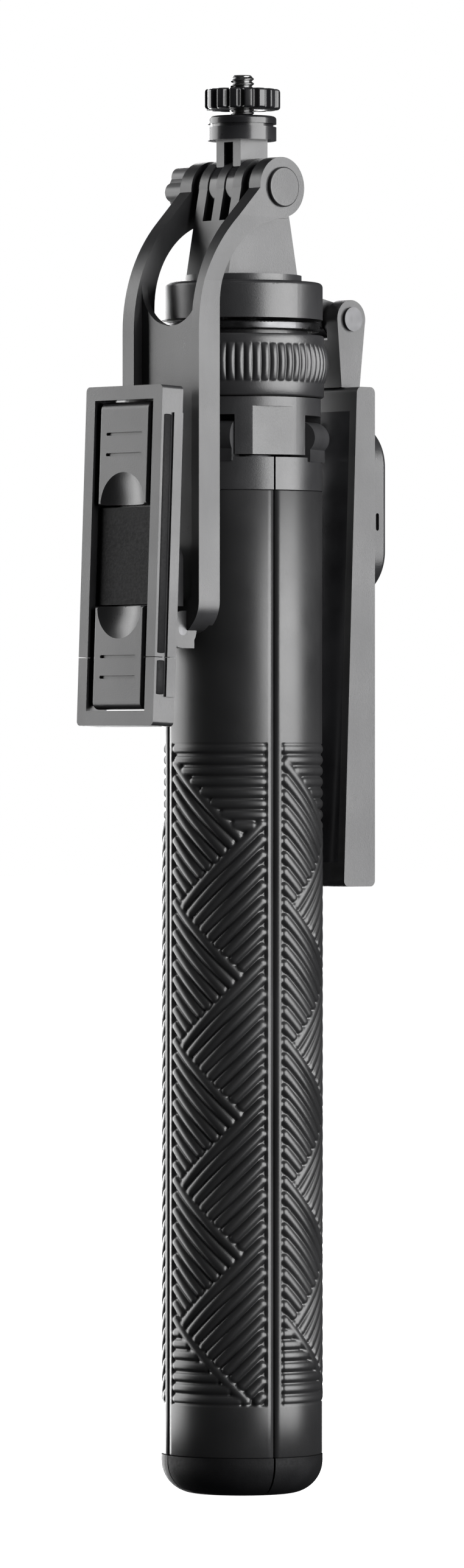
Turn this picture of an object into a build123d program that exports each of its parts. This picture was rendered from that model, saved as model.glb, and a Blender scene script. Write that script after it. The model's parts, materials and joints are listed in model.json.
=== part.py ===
"""Four-legged selfie stick, folded: split-leg handle, telescopic pole, camera head, phone clamp and light.

Millimetres.  The origin is on the floor on the stick's axis and +Z is up.  The head's hinge runs along X,
the phone clamp folds down on the -Y side and the light panel with its remote on the +Y side.
"""

import os
from math import cos, radians, sin

from build123d import *

os.makedirs("parts", exist_ok=True)

# --- handle and legs -------------------------------------------------------------------------------------
HANDLE_R = 21.0
LEG_COUNT = 4
FIRST_LEG_ANGLE = -64.4
LEG_ANGLES = [FIRST_LEG_ANGLE + 360 / LEG_COUNT * n for n in range(LEG_COUNT)]
SEAM_HALF_ANGLE = 0.7
LEG_WALL = 2.8
LEG_INNER_R = HANDLE_R - LEG_WALL
FOOT_TOP = 10.1
FOOT_CORNER_R = 8.5
LEG_FLOOR_TOP = 18.0
LEG_CORE_R = 1.2
LEG_TOP = 260.4
CAP_TOP = 268.8
CAP_INNER_R = 15.0

# --- hub, collars and trim -------------------------------------------------------------------------------
HUB_R = 20.5
HUB_BOTTOM = 269.5
HUB_TOP = 284.4
HUB_FLAT = 19.7
SLEEVE_R = 17.0
COLLAR_BOTTOM, COLLAR_TOP = 284.7, 300.8
COLLAR_GRIP_BOTTOM, COLLAR_GRIP_TOP = 288.4, 298.3
COLLAR_EDGE_R, COLLAR_BULGE_R = 21.4, 22.6
TRIM_BOTTOM, TRIM_TOP = 301.8, 304.2
TRIM_R = 20.3
TRIM_EDGE_R = 0.6
HUB_SHOULDER = 2.4
RUN_GAP = 0.3

# --- leg hinges ------------------------------------------------------------------------------------------
LEG_PIN_R, LEG_PIN_Z = 17.5, 274.2
LEG_PIN_RADIUS = 1.0
LEG_PIN_HALF = 8.6
KNUCKLE_HALF = 5.3
KNUCKLE_RADIUS = 4.2
KNUCKLE_R, KNUCKLE_Z = 18.1, 274.0
SLOT_HALF = 5.6
SLOT_INNER_R = 13.4
SLOT_TOP = 279.8
PIN_PLAY = 0.05

# --- spreader and struts ---------------------------------------------------------------------------------
STRUT_R = 13.6
STRUT_LEG_Z = LEG_PIN_Z - 110.0
STRUT_LENGTH = 90.0
SPREADER_Z = STRUT_LEG_Z - STRUT_LENGTH
STRUT_HALF_WIDTH = 2.5
STRUT_THICK = 2.2
EAR_GAP = 0.4
EAR_THICK = 2.0
STRUT_PIN_RADIUS = 0.75
LEG_EAR_RADIUS, RING_EAR_RADIUS = 2.0, 1.8
EAR_ROOT = 0.6
RING_HEIGHT = 6.0
RING_LIP = 2.9
RING_TOP = SPREADER_Z - 2.6

# --- telescopic pole -------------------------------------------------------------------------------------
TUBE_R = 11.0
TUBE_WALL = 0.7
TUBE_STEP = 1.2
TUBE_BOTTOM = 42.0
SECTION_COUNT = 6
SECTION_FOOT = 12.0
SECTION_FOOT_LIP = 0.2
SECTION_RISE = 2.0
SECTION_TOP = 304.4
LAST_SECTION_TOP = 312.0

# --- head ------------------------------------------------------------------------------------------------
HEAD_BOTTOM, HEAD_TOP = 304.9, 314.6
HEAD_EDGE_R = 1.2
FLANGE_BOTTOM, FLANGE_TOP = 314.8, 316.5
FLANGE_R = 15.5
HINGE_Z = 339.0
HINGE_BOSS_R = 7.8
NECK_HALF_WIDTH = 8.0
NECK_HALF_DEPTH = 12.3
NECK_SHOULDER_Z, NECK_SHOULDER_HALF = 329.0, 9.9
PRONG_INNER, PRONG_OUTER = 1.7, 4.6
PRONG_SLOT_INNER, PRONG_SLOT_OUTER = 1.5, 4.8
PRONG_SLOT_BOTTOM = 330.6
PRONG_RADIUS = 7.5
BOLT_RADIUS = 2.5
BOLT_HEAD_RADIUS = 5.2
BOLT_HEAD_THICK = 0.9
BOLT_EDGE_R = 0.4
HEAD_GAP = 0.1
WASHER_RADIUS = 6.4
WASHER_GAP = 0.1
KNOB_INNER, KNOB_OUTER = 15.6, 22.4
KNOB_RADIUS = 7.2
KNOB_LOBES = 6
KNOB_LOBE_RADIUS = 2.6
KNOB_CORE_RADIUS = 6.0
KNOB_EDGE_R = 0.8
KNOB_BORE_DEPTH = 4.5

# --- camera adapter --------------------------------------------------------------------------------------
STEM_HALF_DEPTH = 4.8
SEAT_BOTTOM, SEAT_TOP = 351.7, 358.0
SEAT_RADIUS = 8.95
SEAT_EDGE_R = 0.8
SEAT_GROOVE_Z, SEAT_GROOVE = 355.2, 0.8
STEM_ROOT = 0.5
LOCK_BOTTOM, LOCK_TOP = 359.8, 365.0
LOCK_RADIUS = 10.0
LOCK_SCALLOPS = 16
SCALLOP_RADIUS, SCALLOP_OUT = 1.5, 0.9
SCREW_RADIUS = 6.35 / 2
SCREW_SHANK_RADIUS = 2.9
SCREW_BOTTOM, SCREW_SHANK_TOP, SCREW_TIP = 354.5, 365.1, 368.7
SCREW_CHAMFER = 0.5
LOCK_PLAY = 0.08

# --- yoke ------------------------------------------------------------------------------------------------
YOKE_HALF_WIDTH = 13.8
YOKE_WALL = 2.8
YOKE_BOSS_OUT = 15.3
YOKE_BACK, YOKE_FRONT = 20.8, 28.1
YOKE_BACK_BEND, YOKE_FRONT_BEND = 23.0, 40.0
YOKE_BACK_BEND_Z = 308.0
YOKE_FLARE_LOW, YOKE_FLARE_HIGH = 314.0, 331.0
YOKE_SHOULDER = (16.4, 330.0)
YOKE_BOTTOM = 223.0
YOKE_CORNER_R = 8.5
YOKE_WEB_BACK, YOKE_WEB_FRONT = 23.3, 25.3
YOKE_SLOT_BOTTOM = 302.7
YOKE_FOOT_TOP = 232.0
YOKE_FOOT_BACK = 22.0

# --- clamp mount -----------------------------------------------------------------------------------------
TILT_T, TILT_Z = 29.3, 224.1
TILT_RADIUS = 4.8
TILT_PIN_RADIUS = 1.5
TILT_TONGUE_HALF = 4.8
TILT_EAR_INNER, TILT_EAR_OUTER = 5.0, 9.0
PLATE_BACK, PLATE_FRONT = 28.7, 32.2
PLATE_TOP = 246.0
PLATE_HALF_WIDTH = 8.5
PLATE_OVERLAP_LOW, PLATE_OVERLAP_HIGH = 6.0, 8.0
PLATE_CORNER_R = 4.0
STUD_GAP = 0.2

# --- phone clamp, drawn on its own leaning plane ---------------------------------------------------------
CLAMP_LEAN = 2.29
CLAMP_ORIGIN_T, CLAMP_ORIGIN_Z = 36.2, 236.5
CLAMP_HALF_WIDTH = 14.5
SIDE_BAR_PROUD = 0.6
SIDE_BAR_BACK, SIDE_BAR_FRONT = 0.3, 3.4
SIDE_BAR_TOP, SIDE_BAR_BOTTOM = 43.0, -30.0
CLAMP_DEPTH = 7.2
CLAMP_TOP, CLAMP_BOTTOM = 50.0, -37.5
CLAMP_SPLIT = -19.8
SPLIT_GAP = 0.2
CLAMP_CORNER_R = 1.2
CLAMP_EDGE_R = 1.0
WINDOW_HALF_WIDTH = 11.1
WINDOW_TOP, WINDOW_BOTTOM = 46.4, -33.7
BACK_PLATE = 2.0
SWIVEL_RADIUS = 5.7
JAW_HALF_WIDTH = 9.5
JAW_BACK, JAW_FRONT = 2.8, 6.8
JAW_MID = (JAW_BACK + JAW_FRONT) / 2
JAW_LENGTH = 24.6
JAW_SLIT = 2.4
JAW_PIN_HALF = 13.0
JAW_EDGE_R = 0.7
JAW_GROOVES = (6.3, 11.6)
GROOVE_LENGTH, GROOVE_HEIGHT, GROOVE_DEPTH = 13.6, 0.8, 0.7
SCOOP_RADIUS, SCOOP_DEPTH = 8.4, 2.2
SCOOP_BALL = (SCOOP_RADIUS**2 + SCOOP_DEPTH**2) / (2 * SCOOP_DEPTH)
JAW_PIN_RADIUS = 1.0
JAW_KNUCKLE = 2.0
UPPER_JAW_PIN, LOWER_JAW_PIN = 44.0, -31.3
PAD_TOP, PAD_BOTTOM = 18.8, -6.3
PAD_FRONT = 5.2
ROD_RADIUS = 1.0
ROD_U = 13.1
ROD_TOP = 20.0
ROD_SEAT = 9.0

# --- light panel -----------------------------------------------------------------------------------------
ARM_Y, ARM_Z = 30.8, 306.0
ARM_BOSS_R = 5.05
TONGUE_RADIUS = 4.6
TONGUE_HALF = 2.6
SPACER_INNER, SPACER_OUTER = 2.7, 4.6
SPACER_RADIUS = 4.4
ARM_FORK_INNER = 4.7
ARM_HALF_WIDTH = 9.0
ARM_PIN_RADIUS = 1.5
ARM_PIN_HEAD, ARM_PIN_HEAD_THICK = 3.15, 0.8
ARM_CLEAR_RADIUS = 5.4
TONGUE_ROOT, TONGUE_REACH, TONGUE_LIFT = 4.0, 3.0, 0.2
PANEL_TOP, PANEL_BOTTOM = 288.1, 157.5
PANEL_HALF_WIDTH = 14.8
PANEL_OUTER_Y = 33.8
PANEL_INNER_TOP_Y, PANEL_INNER_BOTTOM_Y = 27.3, 22.6
PANEL_EDGE_R = 1.6
DIFFUSER_DEPTH = 1.8
DIFFUSER_WIDTH, DIFFUSER_LENGTH = 24.6, 118.0
BOARD_THICK = 1.2
BOARD_WIDTH, BOARD_LENGTH = DIFFUSER_WIDTH - 2, DIFFUSER_LENGTH - 4
BATTERY_WIDTH, BATTERY_LENGTH, BATTERY_THICK = 20.0, 50.0, 3.6
BATTERY_OFFSET = -30.0

# --- remote ----------------------------------------------------------------------------------------------
REMOTE_Z = 256.4
REMOTE_LENGTH, REMOTE_WIDTH = 46.0, 24.0
REMOTE_BACK, REMOTE_FRONT = 33.9, 41.0
REMOTE_EDGE_R = 1.4
BUTTON_RADIUS = 5.0
BUTTON_Z = 262.0
BUTTON_PROUD = 0.4
BUTTON_THICK = 1.2
BUTTON_WELL = 2.0
BUTTON_PLAY = 0.2
BUTTON_EDGE_R = 0.4
REMOTE_PORT_Y, REMOTE_PORT_Z = 37.4, 253.0
PORT_LENGTH, PORT_HEIGHT, PORT_DEPTH = 4.6, 1.1, 2.0
REMOTE_CELL_BACK, REMOTE_CELL_R, REMOTE_CELL_THICK = 1.2, 8.0, 2.0
REMOTE_CELL_DROP = 6.0
THROUGH = 1.0
BEYOND = 15.0


def keep(piece, name):
    """Label a finished piece and write it as its own file."""
    piece.part.label = name
    export_step(piece.part, f"parts/{name}.step")


def radial_plane(angle):
    """The upright plane through the stick's axis at this angle: x is outwards and y is up."""
    across, along = cos(radians(angle)), sin(radians(angle))
    return Plane(origin=(0, 0, 0), x_dir=(across, along, 0), z_dir=(along, -across, 0))


CLAMP_SIDE = Plane(origin=(0, 0, 0), x_dir=(0, -1, 0), z_dir=(-1, 0, 0))
PANEL_SIDE = Plane.YZ
LEAN_COS, LEAN_SIN = cos(radians(CLAMP_LEAN)), sin(radians(CLAMP_LEAN))
CLAMP_PLANE = Plane(
    origin=(0, -CLAMP_ORIGIN_T, CLAMP_ORIGIN_Z),
    x_dir=(1, 0, 0),
    z_dir=(0, -LEAN_COS, LEAN_SIN),
)
LIGHT_PLANE = Plane(
    origin=(0, (PANEL_INNER_TOP_Y + PANEL_INNER_BOTTOM_Y) / 2, (PANEL_TOP + PANEL_BOTTOM) / 2),
    x_dir=(1, 0, 0),
    z_dir=(0, PANEL_BOTTOM - PANEL_TOP, PANEL_INNER_TOP_Y - PANEL_INNER_BOTTOM_Y),
)
CLAMP_SIDE_LEANING = Plane(
    origin=(0, -CLAMP_ORIGIN_T, CLAMP_ORIGIN_Z),
    x_dir=(0, -LEAN_COS, LEAN_SIN),
    z_dir=(-1, 0, 0),
)
CLAMP_SPLIT_PLANE = Plane(
    origin=CLAMP_SIDE_LEANING.from_local_coords((CLAMP_DEPTH / 2, CLAMP_SPLIT)),
    x_dir=(1, 0, 0),
    z_dir=(0, LEAN_SIN, LEAN_COS),
)


def box_sketch(low, high):
    """A rectangle from its low corner to its high corner."""
    with Locations(((low[0] + high[0]) / 2, (low[1] + high[1]) / 2)):
        Rectangle(high[0] - low[0], high[1] - low[1])


# === legs ================================================================================================
LEG_ARC = 360 / LEG_COUNT - 2 * SEAM_HALF_ANGLE


def leg_start(angle):
    """The plane of a leg's first seam face, from which its section is revolved."""
    return radial_plane(angle - LEG_ARC / 2)


def make_foot_pad(number, angle):
    """A rubber foot: a quarter disc with a well rounded outer rim."""
    with BuildPart() as foot_pad:
        with BuildSketch(leg_start(angle)):
            with BuildLine():
                Line((LEG_CORE_R, 0), (HANDLE_R - FOOT_CORNER_R, 0))
                rim = JernArc((HANDLE_R - FOOT_CORNER_R, 0), (1, 0), FOOT_CORNER_R, 90)
                Line(rim @ 1, (HANDLE_R, FOOT_TOP))
                Line((HANDLE_R, FOOT_TOP), (LEG_CORE_R, FOOT_TOP))
                Line((LEG_CORE_R, FOOT_TOP), (LEG_CORE_R, 0))
            make_face()
        revolve(axis=Axis.Z, revolution_arc=LEG_ARC)
    keep(foot_pad, f"foot_pad_{number}")


def make_leg_shell(number, angle):
    """A quarter of the handle's tube with a floor at its foot and two ears inside for its strut."""
    with BuildPart() as leg_shell:
        with BuildSketch(leg_start(angle)):
            box_sketch((LEG_INNER_R, FOOT_TOP), (HANDLE_R, LEG_TOP))
            box_sketch((LEG_CORE_R, FOOT_TOP), (HANDLE_R, LEG_FLOOR_TOP))
        revolve(axis=Axis.Z, revolution_arc=LEG_ARC)
        for side in (-1, 1):
            inner = side * (STRUT_HALF_WIDTH + EAR_GAP)
            with BuildSketch(radial_plane(angle).offset(inner)):
                box_sketch(
                    (STRUT_R, STRUT_LEG_Z - LEG_EAR_RADIUS),
                    (LEG_INNER_R + EAR_ROOT, STRUT_LEG_Z + LEG_EAR_RADIUS),
                )
                with Locations((STRUT_R, STRUT_LEG_Z)):
                    Circle(LEG_EAR_RADIUS)
            extrude(amount=side * EAR_THICK)
    keep(leg_shell, f"leg_shell_{number}")


def make_leg_cap(number, angle):
    """The moulded top of a leg, whose knuckle turns on the hub's pin."""
    with BuildPart() as leg_cap:
        with BuildSketch(leg_start(angle)):
            box_sketch((CAP_INNER_R, LEG_TOP), (HANDLE_R, CAP_TOP))
        revolve(axis=Axis.Z, revolution_arc=LEG_ARC)
        with BuildSketch(radial_plane(angle)):
            with Locations((KNUCKLE_R, KNUCKLE_Z)):
                Circle(KNUCKLE_RADIUS)
            box_sketch((CAP_INNER_R + EAR_ROOT, CAP_TOP - THROUGH), (HANDLE_R, KNUCKLE_Z))
        extrude(amount=KNUCKLE_HALF, both=True)
        with BuildSketch(radial_plane(angle)):
            with Locations((LEG_PIN_R, LEG_PIN_Z)):
                Circle(LEG_PIN_RADIUS + PIN_PLAY)
        extrude(amount=KNUCKLE_HALF + THROUGH, both=True, mode=Mode.SUBTRACT)
    keep(leg_cap, f"leg_cap_{number}")


for number, angle in enumerate(LEG_ANGLES, start=1):
    make_foot_pad(number, angle)
    make_leg_shell(number, angle)
    make_leg_cap(number, angle)


# === hub =================================================================================================
with BuildPart() as leg_hub:
    with BuildSketch(Plane.XY.offset(HUB_BOTTOM)):
        Circle(HUB_R)
    extrude(amount=HUB_TOP - HUB_BOTTOM)
    for angle in LEG_ANGLES:
        with BuildSketch(radial_plane(angle + 180 / LEG_COUNT)):
            box_sketch((HUB_FLAT, HUB_BOTTOM - THROUGH), (HUB_R + THROUGH, HUB_TOP - HUB_SHOULDER))
        extrude(amount=HUB_R / 2, both=True, mode=Mode.SUBTRACT)
        with BuildSketch(radial_plane(angle)):
            box_sketch((SLOT_INNER_R, HUB_BOTTOM - THROUGH), (HUB_R + THROUGH, SLOT_TOP))
        extrude(amount=SLOT_HALF, both=True, mode=Mode.SUBTRACT)
        with BuildSketch(radial_plane(angle)):
            with Locations((LEG_PIN_R, LEG_PIN_Z)):
                Circle(LEG_PIN_RADIUS)
        extrude(amount=LEG_PIN_HALF, both=True, mode=Mode.SUBTRACT)
    with BuildSketch(Plane.XY.offset(HUB_TOP)):
        Circle(SLEEVE_R)
    extrude(amount=TRIM_BOTTOM - HUB_TOP)
    with BuildSketch(Plane.XY.offset(HUB_BOTTOM)):
        Circle(TUBE_R)
    extrude(amount=TRIM_BOTTOM - HUB_BOTTOM, mode=Mode.SUBTRACT)
keep(leg_hub, "leg_hub")

with BuildPart() as leg_hinge_pins:
    for angle in LEG_ANGLES:
        with BuildSketch(radial_plane(angle)):
            with Locations((LEG_PIN_R, LEG_PIN_Z)):
                Circle(LEG_PIN_RADIUS)
        extrude(amount=LEG_PIN_HALF, both=True)
keep(leg_hinge_pins, "leg_hinge_pins")

with BuildPart() as twist_collar:
    with BuildSketch(Plane.XZ):
        with BuildLine():
            Line((SLEEVE_R + RUN_GAP, COLLAR_BOTTOM), (COLLAR_EDGE_R, COLLAR_BOTTOM))
            Line((COLLAR_EDGE_R, COLLAR_BOTTOM), (COLLAR_EDGE_R, COLLAR_GRIP_BOTTOM))
            ThreePointArc(
                (COLLAR_EDGE_R, COLLAR_GRIP_BOTTOM),
                (COLLAR_BULGE_R, (COLLAR_GRIP_BOTTOM + COLLAR_GRIP_TOP) / 2),
                (COLLAR_EDGE_R, COLLAR_GRIP_TOP),
            )
            Line((COLLAR_EDGE_R, COLLAR_GRIP_TOP), (COLLAR_EDGE_R, COLLAR_TOP))
            Line((COLLAR_EDGE_R, COLLAR_TOP), (SLEEVE_R + RUN_GAP, COLLAR_TOP))
            Line((SLEEVE_R + RUN_GAP, COLLAR_TOP), (SLEEVE_R + RUN_GAP, COLLAR_BOTTOM))
        make_face()
    revolve(axis=Axis.Z)
keep(twist_collar, "twist_collar")

with BuildPart() as trim_ring:
    with BuildSketch(Plane.XY.offset(TRIM_BOTTOM)):
        Circle(TRIM_R)
        Circle(TUBE_R, mode=Mode.SUBTRACT)
    extrude(amount=TRIM_TOP - TRIM_BOTTOM)
    fillet(trim_ring.edges().filter_by(GeomType.CIRCLE).group_by(SortBy.RADIUS)[-1], TRIM_EDGE_R)
keep(trim_ring, "trim_ring")

# === telescopic pole =====================================================================================
with BuildPart() as pole_tube_1:
    with BuildSketch(Plane.XY.offset(TUBE_BOTTOM)):
        Circle(TUBE_R)
        Circle(TUBE_R - TUBE_WALL, mode=Mode.SUBTRACT)
    extrude(amount=TRIM_TOP - TUBE_BOTTOM)
keep(pole_tube_1, "pole_tube_1")

for section in range(2, SECTION_COUNT + 1):
    outer_r = TUBE_R - TUBE_STEP * (section - 1)
    bottom = TUBE_BOTTOM + SECTION_RISE * (section - 1)
    top = LAST_SECTION_TOP if section == SECTION_COUNT else SECTION_TOP
    with BuildPart() as pole_section:
        with BuildSketch(Plane.XY.offset(bottom)):
            Circle(outer_r)
            Circle(outer_r - TUBE_WALL, mode=Mode.SUBTRACT)
        extrude(amount=top - bottom)
        with BuildSketch(Plane.XY.offset(bottom)):
            Circle(outer_r + SECTION_FOOT_LIP)
            Circle(outer_r - TUBE_WALL, mode=Mode.SUBTRACT)
        extrude(amount=SECTION_FOOT)
    keep(pole_section, f"pole_section_{section}")

# === spreader and struts =================================================================================
with BuildPart() as spreader_ring:
    with BuildSketch(Plane.XY.offset(RING_TOP - RING_HEIGHT)):
        Circle(STRUT_R + RING_LIP)
        Circle(TUBE_R + RUN_GAP, mode=Mode.SUBTRACT)
    extrude(amount=RING_HEIGHT)
    for angle in LEG_ANGLES:
        for side in (-1, 1):
            inner = side * (STRUT_HALF_WIDTH + EAR_GAP)
            with BuildSketch(radial_plane(angle).offset(inner)):
                box_sketch(
                    (STRUT_R - RING_EAR_RADIUS, RING_TOP - THROUGH),
                    (STRUT_R + RING_EAR_RADIUS, SPREADER_Z),
                )
                with Locations((STRUT_R, SPREADER_Z)):
                    Circle(RING_EAR_RADIUS)
                    Circle(STRUT_PIN_RADIUS, mode=Mode.SUBTRACT)
            extrude(amount=side * EAR_THICK)
keep(spreader_ring, "spreader_ring")

with BuildPart() as strut_pins:
    for angle in LEG_ANGLES:
        with BuildSketch(radial_plane(angle)):
            with Locations((STRUT_R, SPREADER_Z)):
                Circle(STRUT_PIN_RADIUS)
        extrude(amount=STRUT_HALF_WIDTH + EAR_GAP + EAR_THICK, both=True)
keep(strut_pins, "strut_pins")

for number, angle in enumerate(LEG_ANGLES, start=1):
    with BuildPart() as strut:
        with BuildSketch(radial_plane(angle)):
            box_sketch(
                (STRUT_R - STRUT_THICK / 2, SPREADER_Z),
                (STRUT_R + STRUT_THICK / 2, STRUT_LEG_Z),
            )
            with Locations((STRUT_R, SPREADER_Z), (STRUT_R, STRUT_LEG_Z)):
                Circle(STRUT_THICK / 2)
        extrude(amount=STRUT_HALF_WIDTH, both=True)
        with BuildSketch(radial_plane(angle)):
            with Locations((STRUT_R, SPREADER_Z)):
                Circle(STRUT_PIN_RADIUS + PIN_PLAY)
        extrude(amount=STRUT_HALF_WIDTH + THROUGH, both=True, mode=Mode.SUBTRACT)
    keep(strut, f"strut_{number}")

# === head collar and neck ================================================================================
LAST_SECTION_R = TUBE_R - TUBE_STEP * (SECTION_COUNT - 1)
with BuildPart() as head_collar:
    with BuildSketch(Plane.XY.offset(HEAD_BOTTOM)):
        Circle(HANDLE_R)
    extrude(amount=HEAD_TOP - HEAD_BOTTOM)
    fillet(head_collar.edges().group_by(Axis.Z)[-1], HEAD_EDGE_R)
    with BuildSketch(PANEL_SIDE):
        with Locations((ARM_Y, ARM_Z)):
            Circle(TONGUE_RADIUS)
        Polygon(
            (HANDLE_R - TONGUE_ROOT, HEAD_TOP - HEAD_EDGE_R),
            (HANDLE_R - TONGUE_ROOT, HEAD_BOTTOM + TONGUE_LIFT),
            (HANDLE_R + TONGUE_REACH, HEAD_BOTTOM + TONGUE_LIFT),
            (ARM_Y, ARM_Z - TONGUE_RADIUS),
            (ARM_Y, ARM_Z + TONGUE_RADIUS),
            align=None,
        )
    extrude(amount=TONGUE_HALF, both=True)
    with BuildSketch(PANEL_SIDE):
        with Locations((ARM_Y, ARM_Z)):
            Circle(ARM_PIN_RADIUS + PIN_PLAY)
    extrude(amount=TONGUE_HALF + THROUGH, both=True, mode=Mode.SUBTRACT)
    with BuildSketch(Plane.XY.offset(HEAD_BOTTOM)):
        Circle(LAST_SECTION_R)
    extrude(amount=LAST_SECTION_TOP - HEAD_BOTTOM, mode=Mode.SUBTRACT)
keep(head_collar, "head_collar")

with BuildPart() as neck:
    with BuildSketch(Plane.XY.offset(FLANGE_BOTTOM)):
        Circle(FLANGE_R)
    extrude(amount=FLANGE_TOP - FLANGE_BOTTOM)
    with BuildSketch(PANEL_SIDE):
        Polygon(
            (-NECK_HALF_DEPTH, FLANGE_TOP),
            (NECK_HALF_DEPTH, FLANGE_TOP),
            (NECK_SHOULDER_HALF, NECK_SHOULDER_Z),
            (HINGE_BOSS_R, HINGE_Z),
            (-HINGE_BOSS_R, HINGE_Z),
            (-NECK_SHOULDER_HALF, NECK_SHOULDER_Z),
            align=None,
        )
        with Locations((0, HINGE_Z)):
            Circle(HINGE_BOSS_R)
    extrude(amount=NECK_HALF_WIDTH, both=True)
    for side in (-1, 1):
        with BuildSketch(PANEL_SIDE.offset(side * PRONG_SLOT_INNER)):
            box_sketch((-BEYOND, PRONG_SLOT_BOTTOM), (BEYOND, HINGE_Z + BEYOND))
        extrude(amount=side * (PRONG_SLOT_OUTER - PRONG_SLOT_INNER), mode=Mode.SUBTRACT)
    with BuildSketch(PANEL_SIDE):
        with Locations((0, HINGE_Z)):
            Circle(BOLT_RADIUS)
    extrude(amount=NECK_HALF_WIDTH + THROUGH, both=True, mode=Mode.SUBTRACT)
keep(neck, "neck")

with BuildPart() as hinge_bolt:
    with BuildSketch(PANEL_SIDE.offset(-YOKE_BOSS_OUT - KNOB_BORE_DEPTH + 2 * HEAD_GAP)):
        with Locations((0, HINGE_Z)):
            Circle(BOLT_RADIUS)
    extrude(amount=2 * YOKE_BOSS_OUT + KNOB_BORE_DEPTH)
    with BuildSketch(PANEL_SIDE.offset(YOKE_BOSS_OUT + HEAD_GAP)):
        with Locations((0, HINGE_Z)):
            Circle(BOLT_HEAD_RADIUS)
    extrude(amount=BOLT_HEAD_THICK)
    fillet(hinge_bolt.edges().group_by(Axis.X)[-1], BOLT_EDGE_R)
keep(hinge_bolt, "hinge_bolt")

with BuildPart() as hinge_washers:
    for side in (-1, 1):
        with BuildSketch(PANEL_SIDE.offset(side * (NECK_HALF_WIDTH + WASHER_GAP))):
            with Locations((0, HINGE_Z)):
                Circle(WASHER_RADIUS)
                Circle(BOLT_RADIUS + PIN_PLAY, mode=Mode.SUBTRACT)
        extrude(amount=side * (YOKE_HALF_WIDTH - YOKE_WALL - NECK_HALF_WIDTH - 2 * WASHER_GAP))
keep(hinge_washers, "hinge_washers")

with BuildPart() as hinge_knob:
    with BuildSketch(PANEL_SIDE.offset(-KNOB_OUTER)):
        with Locations((0, HINGE_Z)):
            Circle(KNOB_CORE_RADIUS)
            with PolarLocations(KNOB_RADIUS - KNOB_LOBE_RADIUS, KNOB_LOBES):
                Circle(KNOB_LOBE_RADIUS)
    extrude(amount=KNOB_OUTER - KNOB_INNER)
    fillet(hinge_knob.faces().sort_by(Axis.X)[0].edges(), KNOB_EDGE_R)
    with BuildSketch(PANEL_SIDE.offset(-KNOB_INNER)):
        with Locations((0, HINGE_Z)):
            Circle(BOLT_RADIUS + PIN_PLAY)
    extrude(amount=-KNOB_BORE_DEPTH, mode=Mode.SUBTRACT)
keep(hinge_knob, "hinge_knob")

# === camera adapter ======================================================================================
with BuildPart() as adapter:
    for side in (-1, 1):
        with BuildSketch(PANEL_SIDE.offset(side * PRONG_INNER)):
            with Locations((0, HINGE_Z)):
                Circle(PRONG_RADIUS)
            box_sketch((-STEM_HALF_DEPTH, HINGE_Z), (STEM_HALF_DEPTH, SEAT_BOTTOM))
        extrude(amount=side * (PRONG_OUTER - PRONG_INNER))
    with BuildSketch(PANEL_SIDE):
        box_sketch((-STEM_HALF_DEPTH, SEAT_BOTTOM - STEM_ROOT), (STEM_HALF_DEPTH, SEAT_BOTTOM))
    extrude(amount=PRONG_OUTER, both=True)
    with BuildSketch(Plane.XY.offset(SEAT_BOTTOM)):
        Circle(SEAT_RADIUS)
    extrude(amount=SEAT_TOP - SEAT_BOTTOM)
    fillet(adapter.edges().filter_by(GeomType.CIRCLE).group_by(Axis.Z)[-1], SEAT_EDGE_R)
    with BuildSketch(Plane.XY.offset(SEAT_GROOVE_Z)):
        Circle(SEAT_RADIUS + THROUGH)
        Circle(SEAT_RADIUS - SEAT_GROOVE, mode=Mode.SUBTRACT)
    extrude(amount=SEAT_GROOVE, mode=Mode.SUBTRACT)
    with BuildSketch(PANEL_SIDE):
        with Locations((0, HINGE_Z)):
            Circle(BOLT_RADIUS + PIN_PLAY)
    extrude(amount=PRONG_OUTER + THROUGH, both=True, mode=Mode.SUBTRACT)
    with BuildSketch(Plane.XY.offset(SCREW_BOTTOM)):
        Circle(SCREW_SHANK_RADIUS)
    extrude(amount=SEAT_TOP - SCREW_BOTTOM, mode=Mode.SUBTRACT)
keep(adapter, "adapter")

with BuildPart() as camera_screw:
    with BuildSketch(Plane.XY.offset(SCREW_BOTTOM)):
        Circle(SCREW_SHANK_RADIUS)
    extrude(amount=SCREW_SHANK_TOP - SCREW_BOTTOM)
    with BuildSketch(Plane.XY.offset(SCREW_SHANK_TOP)):
        Circle(SCREW_RADIUS)
    extrude(amount=SCREW_TIP - SCREW_SHANK_TOP)
    chamfer(camera_screw.edges().group_by(Axis.Z)[-1], SCREW_CHAMFER)
keep(camera_screw, "camera_screw")

with BuildPart() as lock_disc:
    with BuildSketch(Plane.XY.offset(LOCK_BOTTOM)):
        Circle(LOCK_RADIUS)
        with PolarLocations(LOCK_RADIUS + SCALLOP_OUT, LOCK_SCALLOPS):
            Circle(SCALLOP_RADIUS, mode=Mode.SUBTRACT)
    extrude(amount=LOCK_TOP - LOCK_BOTTOM)
    with BuildSketch(Plane.XY.offset(LOCK_BOTTOM)):
        Circle(SCREW_RADIUS + LOCK_PLAY)
    extrude(amount=LOCK_TOP - LOCK_BOTTOM, mode=Mode.SUBTRACT)
keep(lock_disc, "lock_disc")

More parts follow.
